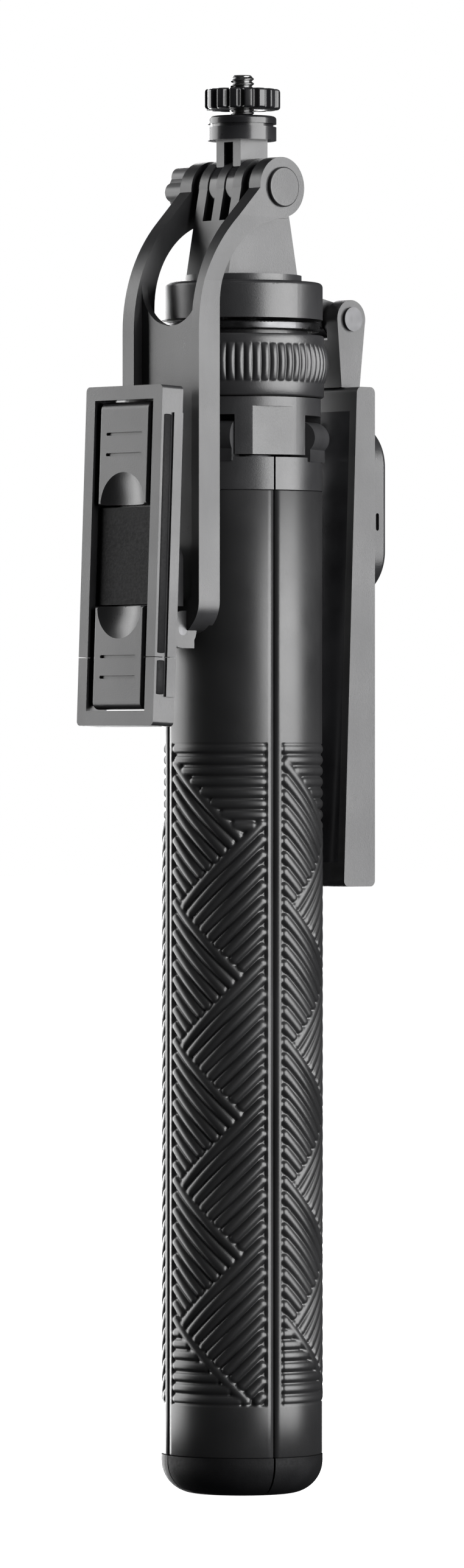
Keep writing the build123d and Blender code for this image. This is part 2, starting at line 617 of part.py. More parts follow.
# === yoke ================================================================================================
YOKE_INNER_HALF = YOKE_HALF_WIDTH - YOKE_WALL
with BuildPart() as yoke:
    for side in (-1, 1):
        with BuildSketch(CLAMP_SIDE.offset(side * YOKE_INNER_HALF)):
            with BuildLine():
                Line((0, HINGE_Z), (YOKE_SHOULDER[0] + YOKE_SHOULDER[1] - HINGE_Z, HINGE_Z))
                Line((YOKE_SHOULDER[0] + YOKE_SHOULDER[1] - HINGE_Z, HINGE_Z), YOKE_SHOULDER)
                front_bend = JernArc(YOKE_SHOULDER, (1, -1), YOKE_FRONT_BEND, -45)
                Line(front_bend @ 1, ((front_bend @ 1).X, YOKE_BOTTOM))
                Line(((front_bend @ 1).X, YOKE_BOTTOM), (YOKE_BACK, YOKE_BOTTOM))
                Line((YOKE_BACK, YOKE_BOTTOM), (YOKE_BACK, YOKE_BACK_BEND_Z))
                back_bend = JernArc((YOKE_BACK, YOKE_BACK_BEND_Z), (0, 1), YOKE_BACK_BEND, 90)
                Line(back_bend @ 1, (0, HINGE_Z))
            make_face()
            with Locations((0, HINGE_Z)):
                Circle(HINGE_BOSS_R)
        extrude(amount=side * (YOKE_BOSS_OUT - YOKE_INNER_HALF))
        with BuildSketch(Plane.XZ.offset(-HINGE_BOSS_R - THROUGH)):
            Polygon(
                (side * YOKE_HALF_WIDTH, YOKE_BOTTOM - THROUGH),
                (side * YOKE_HALF_WIDTH, YOKE_FLARE_LOW),
                (side * YOKE_BOSS_OUT, YOKE_FLARE_HIGH),
                (side * (YOKE_BOSS_OUT + THROUGH), YOKE_FLARE_HIGH),
                (side * (YOKE_BOSS_OUT + THROUGH), YOKE_BOTTOM - THROUGH),
                align=None,
            )
        extrude(amount=YOKE_FRONT + HINGE_BOSS_R + 2 * THROUGH, mode=Mode.SUBTRACT)
    with BuildSketch(Plane.XZ.offset(YOKE_WEB_BACK)):
        box_sketch((-YOKE_INNER_HALF, YOKE_BOTTOM), (YOKE_INNER_HALF, YOKE_SLOT_BOTTOM + YOKE_INNER_HALF))
        with Locations((0, YOKE_SLOT_BOTTOM + YOKE_INNER_HALF)):
            Circle(YOKE_INNER_HALF, mode=Mode.SUBTRACT)
    extrude(amount=YOKE_WEB_FRONT - YOKE_WEB_BACK)
    with BuildSketch(CLAMP_SIDE):
        box_sketch((YOKE_FOOT_BACK, YOKE_BOTTOM), (YOKE_FRONT, YOKE_FOOT_TOP))
    extrude(amount=YOKE_INNER_HALF, both=True)
    with BuildSketch(Plane.XZ.offset(YOKE_BACK - THROUGH)):
        for side in (-1, 1):
            corner_x = side * (YOKE_HALF_WIDTH - YOKE_CORNER_R)
            edge_x = side * (YOKE_HALF_WIDTH + THROUGH)
            box_sketch(
                (min(corner_x, edge_x), YOKE_BOTTOM - THROUGH),
                (max(corner_x, edge_x), YOKE_BOTTOM + YOKE_CORNER_R),
            )
            with Locations((corner_x, YOKE_BOTTOM + YOKE_CORNER_R)):
                Circle(YOKE_CORNER_R, mode=Mode.SUBTRACT)
    extrude(amount=YOKE_FRONT - YOKE_BACK + 2 * THROUGH, mode=Mode.SUBTRACT)
    for side in (-1, 1):
        with BuildSketch(CLAMP_SIDE.offset(side * TILT_EAR_INNER)):
            with Locations((TILT_T, TILT_Z)):
                Circle(TILT_RADIUS)
            box_sketch((YOKE_WEB_FRONT, TILT_Z - TILT_RADIUS), (TILT_T, TILT_Z + TILT_RADIUS))
        extrude(amount=side * (TILT_EAR_OUTER - TILT_EAR_INNER))
    with BuildSketch(CLAMP_SIDE):
        with Locations((TILT_T, TILT_Z)):
            Circle(TILT_RADIUS + RUN_GAP)
    extrude(amount=TILT_EAR_INNER, both=True, mode=Mode.SUBTRACT)
    with BuildSketch(CLAMP_SIDE):
        with Locations((TILT_T, TILT_Z)):
            Circle(TILT_PIN_RADIUS)
        with Locations((0, HINGE_Z)):
            Circle(BOLT_RADIUS + PIN_PLAY)
    extrude(amount=YOKE_BOSS_OUT + THROUGH, both=True, mode=Mode.SUBTRACT)
keep(yoke, "yoke")

with BuildPart() as tilt_pin:
    with BuildSketch(CLAMP_SIDE):
        with Locations((TILT_T, TILT_Z)):
            Circle(TILT_PIN_RADIUS)
    extrude(amount=TILT_EAR_OUTER, both=True)
keep(tilt_pin, "tilt_pin")

# === clamp mount =========================================================================================
with BuildPart() as tilt_plate:
    with BuildSketch(CLAMP_SIDE):
        with Locations((TILT_T, TILT_Z)):
            Circle(TILT_RADIUS)
        box_sketch((PLATE_BACK, TILT_Z), (PLATE_FRONT, TILT_Z + PLATE_OVERLAP_HIGH))
    extrude(amount=TILT_TONGUE_HALF, both=True)
    with BuildSketch(Plane.XZ.offset(PLATE_BACK)):
        box_sketch((-PLATE_HALF_WIDTH, TILT_Z + PLATE_OVERLAP_LOW), (PLATE_HALF_WIDTH, PLATE_TOP))
    extrude(amount=PLATE_FRONT - PLATE_BACK)
    fillet(tilt_plate.edges().filter_by(Axis.Y).group_by(Axis.Z)[-1], PLATE_CORNER_R)
    with BuildSketch(CLAMP_SIDE):
        with Locations((TILT_T, TILT_Z)):
            Circle(TILT_PIN_RADIUS + PIN_PLAY)
    extrude(amount=TILT_TONGUE_HALF + THROUGH, both=True, mode=Mode.SUBTRACT)
keep(tilt_plate, "tilt_plate")

with BuildPart() as swivel_stud:
    with BuildSketch(CLAMP_PLANE.offset(-STUD_GAP)):
        Circle(SWIVEL_RADIUS)
    extrude(amount=PLATE_FRONT - CLAMP_ORIGIN_T + STUD_GAP - THROUGH)
    split(bisect_by=Plane.XZ.offset(PLATE_FRONT), keep=Keep.TOP)
keep(swivel_stud, "swivel_stud")


# === phone clamp =========================================================================================
with BuildPart() as clamp_frame:
    with BuildSketch(CLAMP_PLANE) as upper_outline:
        box_sketch((-CLAMP_HALF_WIDTH, CLAMP_SPLIT), (CLAMP_HALF_WIDTH, CLAMP_TOP))
        fillet(upper_outline.vertices().group_by(Axis.Y)[-1], CLAMP_CORNER_R)
    extrude(amount=CLAMP_DEPTH)
    for side in (-1, 1):
        with BuildSketch(CLAMP_SIDE_LEANING.offset(side * CLAMP_HALF_WIDTH)):
            box_sketch((SIDE_BAR_BACK, CLAMP_SPLIT), (SIDE_BAR_FRONT, SIDE_BAR_TOP))
        extrude(amount=side * SIDE_BAR_PROUD)
    with BuildSketch(CLAMP_PLANE.offset(BACK_PLATE)):
        box_sketch((-WINDOW_HALF_WIDTH, CLAMP_SPLIT - THROUGH), (WINDOW_HALF_WIDTH, WINDOW_TOP))
    extrude(amount=CLAMP_DEPTH, mode=Mode.SUBTRACT)
    with BuildSketch(CLAMP_PLANE):
        box_sketch((-WINDOW_HALF_WIDTH, UPPER_JAW_PIN - JAW_SLIT), (WINDOW_HALF_WIDTH, WINDOW_TOP))
    extrude(amount=BACK_PLATE, mode=Mode.SUBTRACT)
    with BuildSketch(CLAMP_SPLIT_PLANE):
        with Locations((-ROD_U, 0), (ROD_U, 0)):
            Circle(ROD_RADIUS + PIN_PLAY)
    extrude(amount=ROD_TOP - CLAMP_SPLIT + THROUGH, mode=Mode.SUBTRACT)
    with BuildSketch(CLAMP_SIDE_LEANING):
        with Locations((JAW_MID, UPPER_JAW_PIN)):
            Circle(JAW_PIN_RADIUS)
    extrude(amount=JAW_PIN_HALF, both=True, mode=Mode.SUBTRACT)
keep(clamp_frame, "clamp_frame")

with BuildPart() as clamp_pad:
    with BuildSketch(CLAMP_PLANE.offset(BACK_PLATE)):
        box_sketch((-JAW_HALF_WIDTH, PAD_BOTTOM), (JAW_HALF_WIDTH, PAD_TOP))
    extrude(amount=PAD_FRONT - BACK_PLATE)
keep(clamp_pad, "clamp_pad")

with BuildPart() as clamp_carriage:
    with BuildSketch(CLAMP_PLANE) as lower_outline:
        box_sketch((-CLAMP_HALF_WIDTH, CLAMP_BOTTOM), (CLAMP_HALF_WIDTH, CLAMP_SPLIT - SPLIT_GAP))
        fillet(lower_outline.vertices().group_by(Axis.Y)[0], CLAMP_CORNER_R)
    extrude(amount=CLAMP_DEPTH)
    for side in (-1, 1):
        with BuildSketch(CLAMP_SIDE_LEANING.offset(side * CLAMP_HALF_WIDTH)):
            box_sketch((SIDE_BAR_BACK, SIDE_BAR_BOTTOM), (SIDE_BAR_FRONT, CLAMP_SPLIT - SPLIT_GAP))
        extrude(amount=side * SIDE_BAR_PROUD)
    with BuildSketch(CLAMP_PLANE.offset(BACK_PLATE)):
        box_sketch((-WINDOW_HALF_WIDTH, WINDOW_BOTTOM), (WINDOW_HALF_WIDTH, CLAMP_SPLIT + THROUGH))
    extrude(amount=CLAMP_DEPTH, mode=Mode.SUBTRACT)
    with BuildSketch(CLAMP_PLANE):
        box_sketch((-WINDOW_HALF_WIDTH, WINDOW_BOTTOM), (WINDOW_HALF_WIDTH, LOWER_JAW_PIN + JAW_SLIT))
    extrude(amount=BACK_PLATE, mode=Mode.SUBTRACT)
    with BuildSketch(CLAMP_SPLIT_PLANE):
        with Locations((-ROD_U, 0), (ROD_U, 0)):
            Circle(ROD_RADIUS)
    extrude(amount=-ROD_SEAT, mode=Mode.SUBTRACT)
    with BuildSketch(CLAMP_SIDE_LEANING):
        with Locations((JAW_MID, LOWER_JAW_PIN)):
            Circle(JAW_PIN_RADIUS)
    extrude(amount=JAW_PIN_HALF, both=True, mode=Mode.SUBTRACT)
keep(clamp_carriage, "clamp_carriage")

with BuildPart() as guide_rods:
    with BuildSketch(CLAMP_SPLIT_PLANE.offset(-ROD_SEAT)):
        with Locations((-ROD_U, 0), (ROD_U, 0)):
            Circle(ROD_RADIUS)
    extrude(amount=ROD_SEAT + ROD_TOP - CLAMP_SPLIT)
keep(guide_rods, "guide_rods")


def make_jaw(name, pin_v, towards_pad):
    """A flip-out jaw: a grooved plate with a thumb scoop at its free end and a knuckle on its pin."""
    free_v = pin_v + towards_pad * JAW_LENGTH
    with BuildPart() as jaw:
        with BuildSketch(CLAMP_SIDE_LEANING):
            box_sketch((JAW_BACK, min(pin_v, free_v)), (JAW_FRONT, max(pin_v, free_v)))
            with Locations((JAW_MID, pin_v)):
                Circle(JAW_KNUCKLE)
        extrude(amount=JAW_HALF_WIDTH, both=True)
        front = jaw.faces().sort_by(Axis((0, 0, 0), CLAMP_PLANE.z_dir))[-1]
        fillet(front.edges(), JAW_EDGE_R)
        with BuildSketch(CLAMP_PLANE.offset(JAW_FRONT)):
            for groove in JAW_GROOVES:
                with Locations((0, pin_v + towards_pad * groove)):
                    SlotOverall(GROOVE_LENGTH, GROOVE_HEIGHT)
        extrude(amount=-GROOVE_DEPTH, mode=Mode.SUBTRACT)
        with Locations(CLAMP_PLANE.offset(JAW_FRONT + SCOOP_BALL - SCOOP_DEPTH)):
            with Locations((0, free_v, 0)):
                Sphere(SCOOP_BALL, mode=Mode.SUBTRACT)
        with BuildSketch(CLAMP_SIDE_LEANING):
            with Locations((JAW_MID, pin_v)):
                Circle(JAW_PIN_RADIUS + PIN_PLAY)
        extrude(amount=JAW_HALF_WIDTH + THROUGH, both=True, mode=Mode.SUBTRACT)
    keep(jaw, name)


def make_jaw_pin(name, pin_v):
    """The steel pin that a jaw flips on, held in both side rails."""
    with BuildPart() as jaw_pin:
        with BuildSketch(CLAMP_SIDE_LEANING):
            with Locations((JAW_MID, pin_v)):
                Circle(JAW_PIN_RADIUS)
        extrude(amount=JAW_PIN_HALF, both=True)
    keep(jaw_pin, name)


make_jaw("upper_jaw", UPPER_JAW_PIN, -1)
make_jaw("lower_jaw", LOWER_JAW_PIN, 1)
make_jaw_pin("upper_jaw_pin", UPPER_JAW_PIN)
make_jaw_pin("lower_jaw_pin", LOWER_JAW_PIN)

# === light panel =========================================================================================
with BuildPart() as arm_pin:
    with BuildSketch(PANEL_SIDE.offset(-ARM_HALF_WIDTH)):
        with Locations((ARM_Y, ARM_Z)):
            Circle(ARM_PIN_RADIUS)
    extrude(amount=2 * ARM_HALF_WIDTH)
    for side in (-1, 1):
        with BuildSketch(PANEL_SIDE.offset(side * (ARM_HALF_WIDTH + HEAD_GAP))):
            with Locations((ARM_Y, ARM_Z)):
                Circle(ARM_PIN_HEAD)
        extrude(amount=side * ARM_PIN_HEAD_THICK)
        with BuildSketch(PANEL_SIDE.offset(side * ARM_HALF_WIDTH)):
            with Locations((ARM_Y, ARM_Z)):
                Circle(ARM_PIN_RADIUS)
        extrude(amount=side * 2 * HEAD_GAP)
keep(arm_pin, "arm_pin")

with BuildPart() as arm_spacers:
    for side in (-1, 1):
        with BuildSketch(PANEL_SIDE.offset(side * SPACER_INNER)):
            with Locations((ARM_Y, ARM_Z)):
                Circle(SPACER_RADIUS)
                Circle(ARM_PIN_RADIUS + PIN_PLAY, mode=Mode.SUBTRACT)
        extrude(amount=side * (SPACER_OUTER - SPACER_INNER))
keep(arm_spacers, "arm_spacers")

with BuildPart() as panel_arm:
    with BuildSketch(PANEL_SIDE):
        with Locations((ARM_Y, ARM_Z)):
            Circle(ARM_BOSS_R)
        Polygon(
            (ARM_Y - ARM_BOSS_R, ARM_Z),
            (PANEL_INNER_TOP_Y, PANEL_TOP),
            (PANEL_OUTER_Y, PANEL_TOP),
            (ARM_Y + ARM_BOSS_R, ARM_Z),
            align=None,
        )
    extrude(amount=ARM_HALF_WIDTH, both=True)
    with BuildSketch(PANEL_SIDE):
        box_sketch((ARM_Y - BEYOND, ARM_Z - ARM_CLEAR_RADIUS), (ARM_Y + BEYOND, ARM_Z + BEYOND))
    extrude(amount=ARM_FORK_INNER, both=True, mode=Mode.SUBTRACT)
    with BuildSketch(PANEL_SIDE):
        with Locations((ARM_Y, ARM_Z)):
            Circle(ARM_PIN_RADIUS + PIN_PLAY)
    extrude(amount=ARM_HALF_WIDTH + THROUGH, both=True, mode=Mode.SUBTRACT)
keep(panel_arm, "panel_arm")

with BuildPart() as panel_shell:
    with BuildSketch(PANEL_SIDE) as wedge:
        Polygon(
            (PANEL_INNER_TOP_Y, PANEL_TOP),
            (PANEL_OUTER_Y, PANEL_TOP),
            (PANEL_OUTER_Y, PANEL_BOTTOM),
            (PANEL_INNER_BOTTOM_Y, PANEL_BOTTOM),
            align=None,
        )
        fillet(wedge.vertices(), PANEL_EDGE_R)
    extrude(amount=PANEL_HALF_WIDTH, both=True)
    with BuildSketch(LIGHT_PLANE):
        Rectangle(DIFFUSER_WIDTH, DIFFUSER_LENGTH)
    extrude(amount=-DIFFUSER_DEPTH, mode=Mode.SUBTRACT)
    with BuildSketch(LIGHT_PLANE.offset(-DIFFUSER_DEPTH)):
        Rectangle(BOARD_WIDTH, BOARD_LENGTH)
    extrude(amount=-BOARD_THICK, mode=Mode.SUBTRACT)
    with BuildSketch(LIGHT_PLANE.offset(-DIFFUSER_DEPTH - BOARD_THICK)):
        with Locations((0, BATTERY_OFFSET)):
            Rectangle(BATTERY_WIDTH, BATTERY_LENGTH)
    extrude(amount=-BATTERY_THICK, mode=Mode.SUBTRACT)
keep(panel_shell, "panel_shell")

with BuildPart() as light_diffuser:
    with BuildSketch(LIGHT_PLANE):
        Rectangle(DIFFUSER_WIDTH, DIFFUSER_LENGTH)
    extrude(amount=-DIFFUSER_DEPTH)
keep(light_diffuser, "light_diffuser")

with BuildPart() as light_board:
    with BuildSketch(LIGHT_PLANE.offset(-DIFFUSER_DEPTH)):
        Rectangle(BOARD_WIDTH, BOARD_LENGTH)
    extrude(amount=-BOARD_THICK)
keep(light_board, "light_board")

with BuildPart() as light_battery:
    with BuildSketch(LIGHT_PLANE.offset(-DIFFUSER_DEPTH - BOARD_THICK)):
        with Locations((0, BATTERY_OFFSET)):
            Rectangle(BATTERY_WIDTH, BATTERY_LENGTH)
    extrude(amount=-BATTERY_THICK)
keep(light_battery, "light_battery")

# === remote ==============================================================================================
REMOTE_PLANE = Plane(origin=(0, REMOTE_BACK, REMOTE_Z), x_dir=(-1, 0, 0), z_dir=(0, 1, 0))
with BuildPart() as remote_body:
    with BuildSketch(REMOTE_PLANE):
        SlotOverall(REMOTE_LENGTH, REMOTE_WIDTH, rotation=90)
    extrude(amount=REMOTE_FRONT - REMOTE_BACK)
    fillet(remote_body.edges().group_by(Axis.Y)[-1], REMOTE_EDGE_R)
    with BuildSketch(REMOTE_PLANE.offset(REMOTE_FRONT - REMOTE_BACK)):
        with Locations((0, BUTTON_Z - REMOTE_Z)):
            Circle(BUTTON_RADIUS + BUTTON_PLAY)
    extrude(amount=-BUTTON_WELL, mode=Mode.SUBTRACT)
    with BuildSketch(Plane.YZ.offset(REMOTE_WIDTH / 2)):
        with Locations((REMOTE_PORT_Y, REMOTE_PORT_Z)):
            SlotOverall(PORT_LENGTH, PORT_HEIGHT, rotation=90)
    extrude(amount=-PORT_DEPTH, mode=Mode.SUBTRACT)
    with BuildSketch(REMOTE_PLANE.offset(REMOTE_CELL_BACK)):
        with Locations((0, -REMOTE_CELL_DROP)):
            Circle(REMOTE_CELL_R)
    extrude(amount=REMOTE_CELL_THICK, mode=Mode.SUBTRACT)
keep(remote_body, "remote_body")

with BuildPart() as remote_cell:
    with BuildSketch(REMOTE_PLANE.offset(REMOTE_CELL_BACK)):
        with Locations((0, -REMOTE_CELL_DROP)):
            Circle(REMOTE_CELL_R)
    extrude(amount=REMOTE_CELL_THICK)
keep(remote_cell, "remote_cell")

with BuildPart() as remote_button:
    with BuildSketch(REMOTE_PLANE.offset(REMOTE_FRONT - REMOTE_BACK - BUTTON_THICK)):
        with Locations((0, BUTTON_Z - REMOTE_Z)):
            Circle(BUTTON_RADIUS)
    extrude(amount=BUTTON_THICK + BUTTON_PROUD)
    fillet(remote_button.edges().group_by(Axis.Y)[-1], BUTTON_EDGE_R)
keep(remote_button, "remote_button")
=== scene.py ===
"""The looks of a folded four-legged selfie stick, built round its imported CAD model.  Metres, +Z up."""

import json
import math

import bpy
import numpy as np
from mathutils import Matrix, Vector


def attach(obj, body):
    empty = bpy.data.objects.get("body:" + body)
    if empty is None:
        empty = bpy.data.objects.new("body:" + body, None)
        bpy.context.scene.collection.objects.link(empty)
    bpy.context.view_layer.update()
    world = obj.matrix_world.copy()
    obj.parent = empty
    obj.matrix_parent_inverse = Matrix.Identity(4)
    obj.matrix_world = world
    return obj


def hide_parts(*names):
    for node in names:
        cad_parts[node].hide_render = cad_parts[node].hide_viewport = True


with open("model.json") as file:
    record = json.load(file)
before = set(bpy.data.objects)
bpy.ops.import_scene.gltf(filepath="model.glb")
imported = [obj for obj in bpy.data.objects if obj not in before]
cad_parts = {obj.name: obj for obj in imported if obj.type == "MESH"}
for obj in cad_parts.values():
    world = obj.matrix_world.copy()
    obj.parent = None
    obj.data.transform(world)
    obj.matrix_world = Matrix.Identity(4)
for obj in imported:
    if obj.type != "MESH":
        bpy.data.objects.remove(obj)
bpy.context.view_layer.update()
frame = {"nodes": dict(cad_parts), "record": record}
NODES = frame["nodes"]
MM = 0.001
LEG_ANGLES = [math.radians(-64.4 + 90 * n) for n in range(4)]
STICK_MIDDLE = 0.19


# --- camera, light and floor -----------------------------------------------------------------------------
def add_camera():
    """A long lens at mid height, level, looking at the edge between the clamp side and the bolt-head side."""
    azimuth, distance = math.radians(46.9), 2.4
    view_height, stick_centre = 0.4082, 0.1843
    aside = 0.0026
    camera_data = bpy.data.cameras.new("camera")
    camera = bpy.data.objects.new("camera", camera_data)
    bpy.context.scene.collection.objects.link(camera)
    right = Vector((math.cos(azimuth), math.sin(azimuth), 0))
    back = Vector((math.sin(azimuth), -math.cos(azimuth), 0))
    camera.location = back * distance - right * aside + Vector((0, 0, stick_centre))
    camera.rotation_euler = (math.pi / 2, 0, azimuth)
    camera_data.sensor_fit = "VERTICAL"
    camera_data.sensor_height = 36.0
    camera_data.lens = 36.0 * distance / view_height
    camera_data.clip_end = 50
    bpy.context.scene.camera = camera


def add_softbox(name, azimuth, height, distance, size, power):
    """A rectangular studio light that faces the stick from this compass angle (degrees from +X)."""
    data = bpy.data.lights.new(name, "AREA")
    data.shape = "RECTANGLE"
    data.size, data.size_y = size
    data.energy = power
    light = bpy.data.objects.new(name, data)
    bpy.context.scene.collection.objects.link(light)
    a = math.radians(azimuth)
    light.location = (distance * math.cos(a), distance * math.sin(a), height)
    aim = Vector((0, 0, STICK_MIDDLE)) - light.location
    light.rotation_euler = aim.to_track_quat("-Z", "Y").to_euler()


def add_world():
    """White behind the object and a dim grey room in its reflections."""
    world = bpy.data.worlds.new("studio")
    bpy.context.scene.world = world
    world.use_nodes = True
    nodes, links = world.node_tree.nodes, world.node_tree.links
    nodes.clear()
    room = nodes.new("ShaderNodeBackground")
    room.inputs["Color"].default_value = (0.94, 0.96, 1.0, 1)
    room.inputs["Strength"].default_value = 0.045
    white = nodes.new("ShaderNodeBackground")
    white.inputs["Color"].default_value = (1, 1, 1, 1)
    white.inputs["Strength"].default_value = 1.0
    path = nodes.new("ShaderNodeLightPath")
    mix = nodes.new("ShaderNodeMixShader")
    out = nodes.new("ShaderNodeOutputWorld")
    links.new(path.outputs["Is Camera Ray"], mix.inputs[0])
    links.new(room.outputs[0], mix.inputs[1])
    links.new(white.outputs[0], mix.inputs[2])
    links.new(mix.outputs[0], out.inputs["Surface"])


def add_floor():
    """A plain white floor."""
    mesh = bpy.data.meshes.new("studio_floor")
    reach = 12.0
    corners = [(-reach, -reach, 0), (reach, -reach, 0), (reach, reach, 0), (-reach, reach, 0)]
    mesh.from_pydata(corners, [], [(0, 1, 2, 3)])
    floor = bpy.data.objects.new("studio_floor", mesh)
    bpy.context.scene.collection.objects.link(floor)
    material = bpy.data.materials.new("studio_floor")
    material.use_nodes = True
    shader = material.node_tree.nodes["Principled BSDF"]
    shader.inputs["Base Color"].default_value = (0.9, 0.9, 0.9, 1)
    shader.inputs["Roughness"].default_value = 0.9
    shader.inputs["Specular IOR Level"].default_value = 0.1
    shader.inputs["Emission Color"].default_value = (1, 1, 1, 1)
    shader.inputs["Emission Strength"].default_value = 1.0
    mesh.materials.append(material)
    floor.visible_diffuse = False
    floor.visible_glossy = False


def light_the_studio():
    add_world()
    add_floor()
    add_softbox("key_right", 17, 0.35, 1.5, (1.7, 1.6), 92)
    add_softbox("fill_left", -155, 0.35, 1.5, (1.2, 1.6), 36)
    add_softbox("rim_left", 157, 0.25, 1.5, (0.9, 1.4), 46)
    add_softbox("top", -60, 1.8, 0.6, (0.9, 0.9), 1.5)
    bpy.context.scene.view_settings.view_transform = "Standard"


# --- materials -------------------------------------------------------------------------------------------
def new_material(name):
    material = bpy.data.materials.new(name)
    material.use_nodes = True
    nodes, links = material.node_tree.nodes, material.node_tree.links
    shader = nodes["Principled BSDF"]
    coord = nodes.new("ShaderNodeTexCoord")
    return material, nodes, links, shader, coord


def noise(nodes, links, coord, scale, detail=4.0, stretch=None):
    """A noise in object space, with an optional stretch along each axis."""
    texture = nodes.new("ShaderNodeTexNoise")
    texture.inputs["Scale"].default_value = scale
    texture.inputs["Detail"].default_value = detail
    if stretch:
        mapping = nodes.new("ShaderNodeMapping")
        mapping.inputs["Scale"].default_value = stretch
        links.new(coord.outputs["Object"], mapping.inputs["Vector"])
        links.new(mapping.outputs["Vector"], texture.inputs["Vector"])
    else:
        links.new(coord.outputs["Object"], texture.inputs["Vector"])
    return texture.outputs["Fac"]


def remap(nodes, links, value, low, high, out_low, out_high):
    """value, stretched from one range to another and held at its ends."""
    node = nodes.new("ShaderNodeMapRange")
    node.inputs["From Min"].default_value = low
    node.inputs["From Max"].default_value = high
    node.inputs["To Min"].default_value = out_low
    node.inputs["To Max"].default_value = out_high
    links.new(value, node.inputs["Value"])
    return node.outputs["Result"]


def combine(nodes, links, how, a, b):
    node = nodes.new("ShaderNodeMath")
    node.operation = how
    for socket, value in zip(node.inputs, (a, b)):
        if isinstance(value, (int, float)):
            socket.default_value = value
        else:
            links.new(value, socket)
    return node.outputs[0]


def tinted(nodes, links, factor, dark, light):
    """A colour between two, by a factor."""
    mix = nodes.new("ShaderNodeMix")
    mix.data_type = "RGBA"
    mix.inputs["A"].default_value = (*dark, 1)
    mix.inputs["B"].default_value = (*light, 1)
    links.new(factor, mix.inputs["Factor"])
    return mix.outputs["Result"]


def add_bump(nodes, links, shader, height, distance, strength):
    bump = nodes.new("ShaderNodeBump")
    bump.inputs["Strength"].default_value = strength
    bump.inputs["Distance"].default_value = distance
    links.new(height, bump.inputs["Height"])
    links.new(bump.outputs["Normal"], shader.inputs["Normal"])


def moulded(name, colour, roughness, grain=0.35, wear=0.5):
    """Moulded plastic: fine spark-eroded grain, faint handling marks and paler rubbed edges."""
    material, nodes, links, shader, coord = new_material(name)
    grain_fine = noise(nodes, links, coord, 2600, 3)
    marks = noise(nodes, links, coord, 45, 5)
    scuffs = noise(nodes, links, coord, 260, 6, (1, 1, 0.25))
    geometry = nodes.new("ShaderNodeNewGeometry")
    edge = remap(nodes, links, geometry.outputs["Pointiness"], 0.53, 0.62, 0, wear)
    edge = combine(nodes, links, "MULTIPLY", edge, remap(nodes, links, scuffs, 0.35, 0.7, 0.2, 1))
    base_mix = combine(nodes, links, "ADD", remap(nodes, links, marks, 0.3, 0.7, 0, 0.35), edge)
    dark = [c * 0.92 for c in colour]
    pale = [min(1, c * 1.45 + 0.006) for c in colour]
    links.new(tinted(nodes, links, base_mix, dark, pale), shader.inputs["Base Color"])
    rough = remap(nodes, links, marks, 0.3, 0.7, roughness - 0.05, roughness + 0.06)
    rough = combine(nodes, links, "ADD", rough, remap(nodes, links, grain_fine, 0.3, 0.7, -0.03, 0.04))
    links.new(rough, shader.inputs["Roughness"])
    shader.inputs["Specular IOR Level"].default_value = 0.5
    add_bump(nodes, links, shader, grain_fine, 0.00005, grain)
    return material


def rubbery(name, colour):
    """Soft rubber: dull, dusty in the pores."""
    material, nodes, links, shader, coord = new_material(name)
    pores = noise(nodes, links, coord, 1500, 5)
    dust = noise(nodes, links, coord, 120, 6)
    pale = [c * 1.8 + 0.002 for c in colour]
    dusting = remap(nodes, links, dust, 0.45, 0.75, 0, 0.6)
    links.new(tinted(nodes, links, dusting, colour, pale), shader.inputs["Base Color"])
    links.new(remap(nodes, links, pores, 0.3, 0.7, 0.52, 0.66), shader.inputs["Roughness"])
    shader.inputs["Specular IOR Level"].default_value = 0.1
    add_bump(nodes, links, shader, pores, 0.00008, 0.4)
    return material


def metal(name, colour, roughness, stretch=(1, 1, 0.06), scale=900, brushed=0.35):
    """Metal with fine drawn or turned lines and faint stains."""
    material, nodes, links, shader, coord = new_material(name)
    lines = noise(nodes, links, coord, scale, 3, stretch)
    stains = noise(nodes, links, coord, 60, 5)
    shader.inputs["Metallic"].default_value = 1.0
    dark = [c * 0.86 for c in colour]
    pale = [min(1, c * 1.08) for c in colour]
    staining = remap(nodes, links, stains, 0.3, 0.7, 0, 1)
    links.new(tinted(nodes, links, staining, dark, pale), shader.inputs["Base Color"])
    rough = remap(nodes, links, lines, 0.3, 0.7, roughness - 0.06, roughness + 0.08)
    links.new(rough, shader.inputs["Roughness"])
    add_bump(nodes, links, shader, lines, 0.00002, brushed)
    return material


def lacquered(name, colour, roughness):
    """Glossy black lacquer on metal, with faint orange peel and edge wear."""
    material, nodes, links, shader, coord = new_material(name)
    peel = noise(nodes, links, coord, 700, 2)
    smears = noise(nodes, links, coord, 90, 6)
    geometry = nodes.new("ShaderNodeNewGeometry")
    edge = remap(nodes, links, geometry.outputs["Pointiness"], 0.54, 0.64, 0, 0.5)
    pale = [c * 2.2 + 0.012 for c in colour]
    links.new(tinted(nodes, links, edge, colour, pale), shader.inputs["Base Color"])
    links.new(remap(nodes, links, smears, 0.35, 0.7, roughness, roughness + 0.12), shader.inputs["Roughness"])
    shader.inputs["Specular IOR Level"].default_value = 0.35
    shader.inputs["Coat Weight"].default_value = 0.15
    shader.inputs["Coat Roughness"].default_value = 0.1
    add_bump(nodes, links, shader, peel, 0.00003, 0.25)
    return material


def shade_darkened_window(name):
    """The glossy window over the light, its colour set near black as painted shade from the handle close in
    front of it.
    """
    material, nodes, links, shader, coord = new_material(name)
    smears = noise(nodes, links, coord, 70, 5)
    prisms = noise(nodes, links, coord, 1800, 2)
    cloud = remap(nodes, links, smears, 0.3, 0.7, 0, 1)
    # painted shade: the near-black colour stands for the handle's shade on this window; the smears only vary
    # it
    tint = tinted(nodes, links, cloud, (0.018, 0.018, 0.02), (0.032, 0.032, 0.036))
    links.new(tint, shader.inputs["Base Color"])
    links.new(remap(nodes, links, smears, 0.3, 0.7, 0.14, 0.24), shader.inputs["Roughness"])
    add_bump(nodes, links, shader, prisms, 0.00003, 0.25)
    return material


